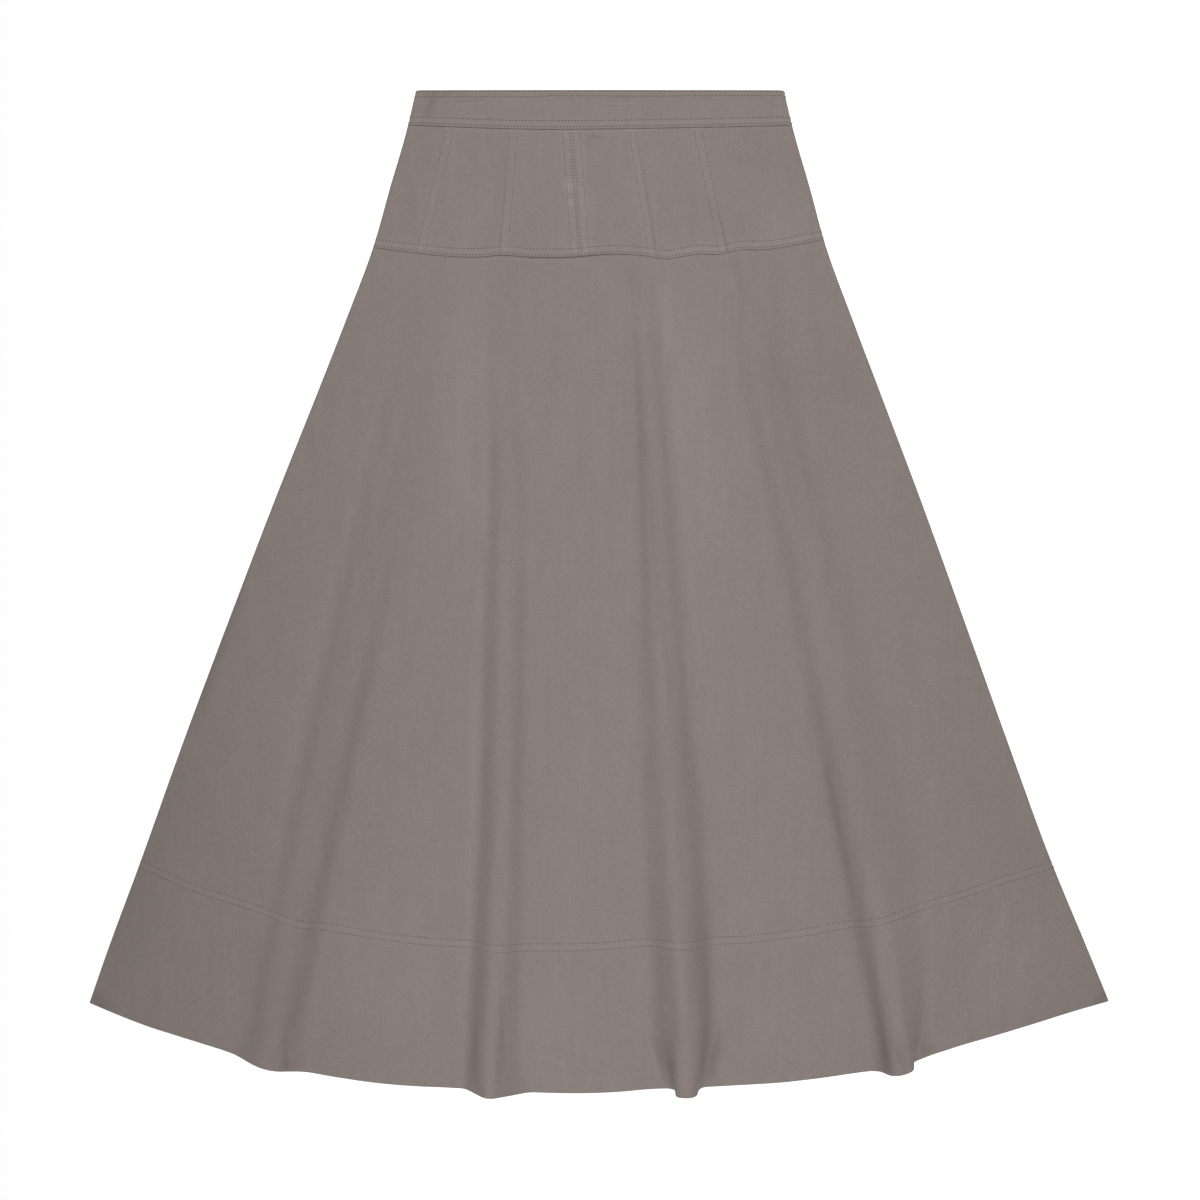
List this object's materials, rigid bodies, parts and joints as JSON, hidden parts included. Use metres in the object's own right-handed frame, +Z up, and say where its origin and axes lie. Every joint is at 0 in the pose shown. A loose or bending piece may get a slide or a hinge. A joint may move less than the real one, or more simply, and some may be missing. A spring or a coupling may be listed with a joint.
{
  "type": "yoke skirt",
  "caption": "Flared twill skirt with a panelled yoke, waistband and deep stitched hem, laid flat with soft flutes.",
  "frame": {"origin": "middle of the bounding box, on the surface that the skirt lies on", "axes": "+X to the right across the front, +Y towards the waist, +Z up out of the surface"},
  "size_m": [0.9334, 0.9154, 0.0391],
  "materials": {
    "skirt_twill": "matt twill",
    "yoke_twill": "matt twill",
    "band_twill": "matt twill"
  },
  "bodies": {
    "root": {"waistband_front": "band_twill", "waistband_back": "band_twill", "yoke_front_1": "yoke_twill", "yoke_front_2": "yoke_twill", "yoke_front_3": "yoke_twill", "yoke_front_4": "yoke_twill", "yoke_front_5": "yoke_twill", "yoke_front_6": "yoke_twill", "yoke_back": "yoke_twill", "skirt_front": "skirt_twill", "skirt_back": "skirt_twill"}
  },
  "joints": []
}
